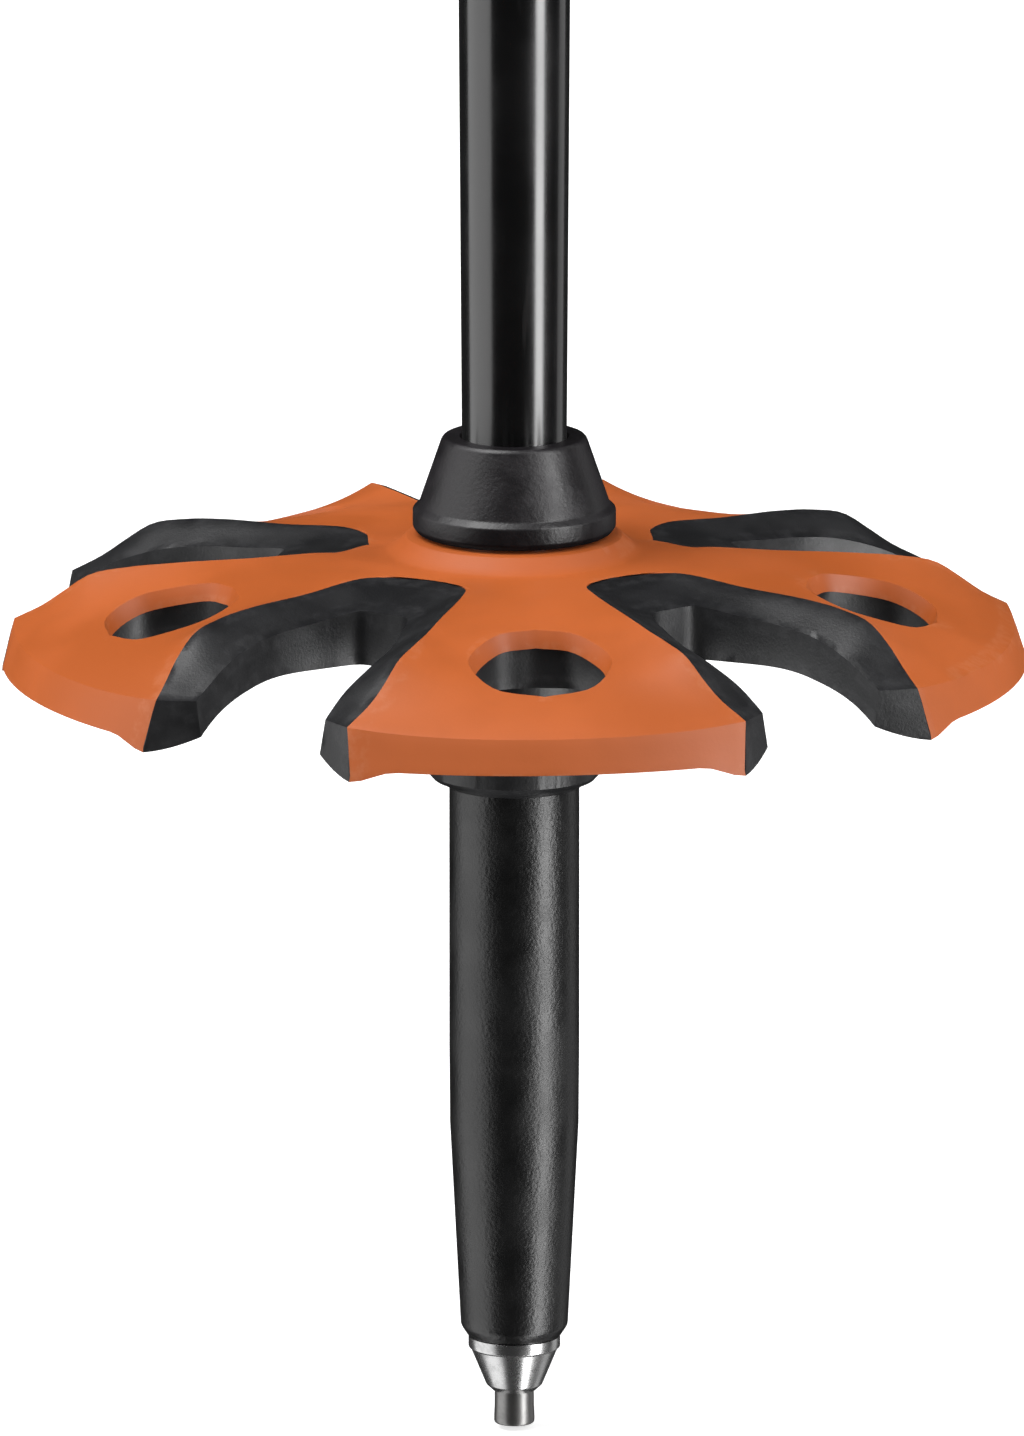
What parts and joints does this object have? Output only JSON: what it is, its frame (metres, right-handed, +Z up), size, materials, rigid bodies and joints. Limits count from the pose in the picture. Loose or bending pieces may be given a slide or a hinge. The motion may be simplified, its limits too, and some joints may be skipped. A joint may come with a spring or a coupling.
{
  "type": "adjustable ski pole",
  "caption": "Two-piece telescoping ski pole with a petal basket, a stop collar, a steel-pinned tip, a lever clamp, a foam-extended grip and a wrist strap.",
  "frame": {"origin": "middle of the flat end of the tip's steel pin", "axes": "+Z up along the shaft to the grip, +X towards the fingers' side of the grip, -X towards the side the strap hangs on"},
  "size_m": [0.1274, 0.1, 1.2],
  "materials": {
    "steel": "turned steel, bright on the ferrule's rim, dull on the pin",
    "black_plastic": "satin black moulded plastic with a fine grain",
    "black_shaft": "gloss black anodised aluminium tube",
    "collar_rubber": "matte dark grey soft plastic",
    "basket_plastic": "dark grey moulded plastic, lightly grained",
    "orange_rubber": "soft matte orange overmoulding",
    "lever_metal": "satin black coated lever",
    "grip_rubber": "matte black textured rubber",
    "grip_foam": "black closed-cell foam",
    "strap_fabric": "black woven webbing"
  },
  "bodies": {
    "lower_section": {"tip_pin": "steel", "tip_ferrule": "steel", "tip_sleeve": "black_plastic", "lower_shaft": "black_shaft", "guide_bush": "black_plastic", "stop_collar": "collar_rubber"},
    "basket": {"basket_core": "basket_plastic", "basket_top": "orange_rubber"},
    "upper_section": {"upper_shaft": "black_shaft", "clamp_liner": "black_plastic", "clamp_body": "black_plastic", "clamp_bolt": "steel", "lever_barrel": "steel", "adjuster_washer": "steel", "grip_core": "basket_plastic", "grip_body": "grip_rubber", "grip_cap": "orange_rubber", "grip_extension": "grip_foam", "extension_ring": "black_plastic", "strap_pin": "steel"},
    "lever": {"clamp_lever": "lever_metal"},
    "adjuster": {"adjuster_nut": "steel"},
    "wedge": {"strap_wedge": "basket_plastic"},
    "strap": {"strap_webbing": "strap_fabric", "strap_pad": "strap_fabric", "strap_keeper": "black_plastic"}
  },
  "joints": [
    {"name": "length_slide", "type": "slide", "parent": "lower_section", "child": "upper_section", "axis": [0, 0, 1], "range_m": [-0.15, 0.2]},
    {"name": "basket_turn", "type": "hinge", "parent": "lower_section", "child": "basket", "pos_m": [0, 0, 0.08], "axis": [0, 0, 1], "range_deg": [0, 180]},
    {"name": "lever_open", "type": "hinge", "parent": "upper_section", "child": "lever", "pos_m": [0.0122, -0.0152, 0.579], "axis": [0, 0, -1], "range_deg": [0, 120]},
    {"name": "adjuster_turn", "type": "hinge", "parent": "upper_section", "child": "adjuster", "pos_m": [-0.01, -0.0152, 0.579], "axis": [1, 0, 0], "range_deg": [-180, 540]},
    {"name": "wedge_lift", "type": "slide", "parent": "upper_section", "child": "wedge", "axis": [0, 0, 1], "range_m": [0, 0.012]},
    {"name": "strap_swing", "type": "hinge", "parent": "upper_section", "child": "strap", "pos_m": [-0.008, 0, 1.178], "axis": [0, 1, 0], "range_deg": [0, 35]}
  ]
}
